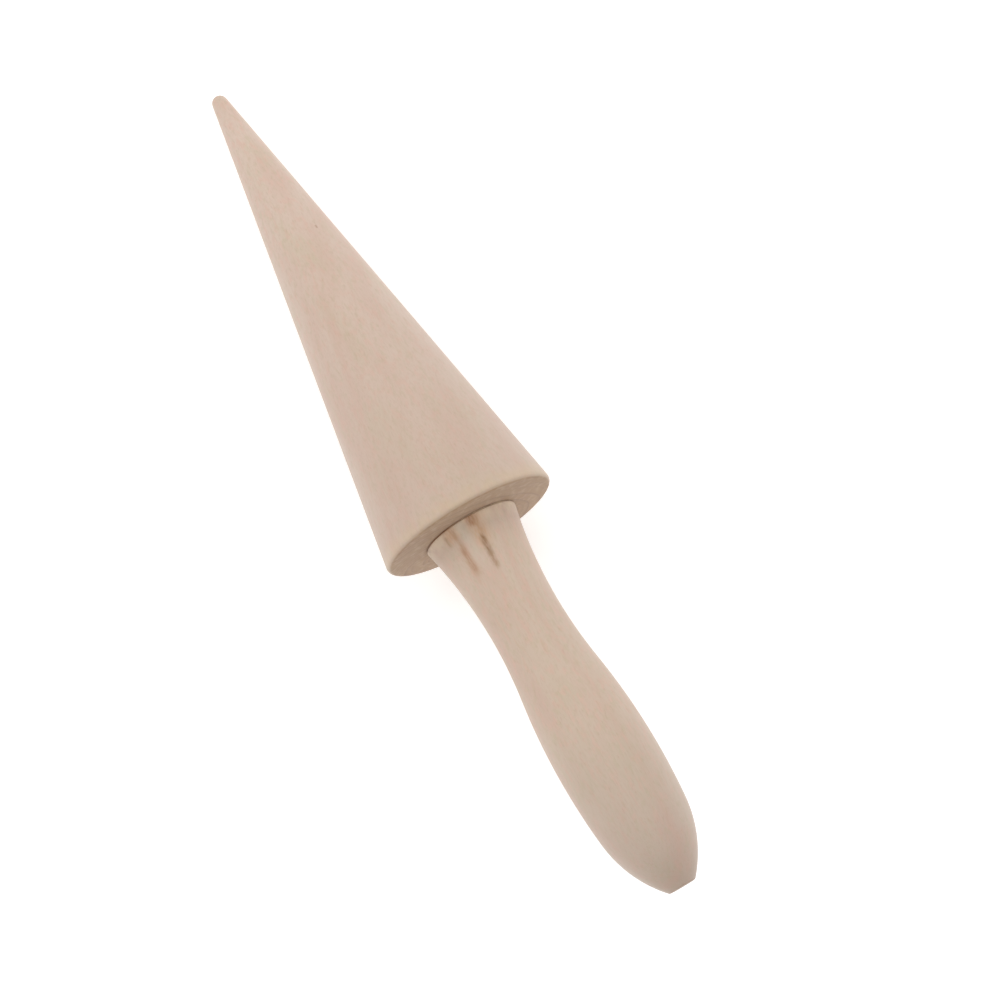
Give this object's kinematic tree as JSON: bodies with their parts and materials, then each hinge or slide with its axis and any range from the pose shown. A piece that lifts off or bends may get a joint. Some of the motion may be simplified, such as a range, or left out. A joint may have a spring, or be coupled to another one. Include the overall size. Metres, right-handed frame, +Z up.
{
  "type": "ring mandrel",
  "caption": "Plain turned wooden cone with a rounded tip and a flat base, glued on the tenon of a waisted and bellied turned wooden hand grip.",
  "frame": {"origin": "on the level table that the side of the cone lies on, under the middle of the whole length", "axes": "+X from the tip of the cone towards the handle, +Z up, the turning axis in the XZ plane and rising towards +X by half the cone's angle, 8.97 degrees"},
  "size_m": [0.2517, 0.0496, 0.0509],
  "materials": {
    "cone_wood": "turned and sanded, bare",
    "handle_wood": "turned and sanded, bare",
    "cured_glue": "cured squeeze-out"
  },
  "bodies": {
    "root": {"mandrel_cone": "cone_wood", "handle": "handle_wood", "glue_film": "cured_glue"}
  },
  "joints": []
}
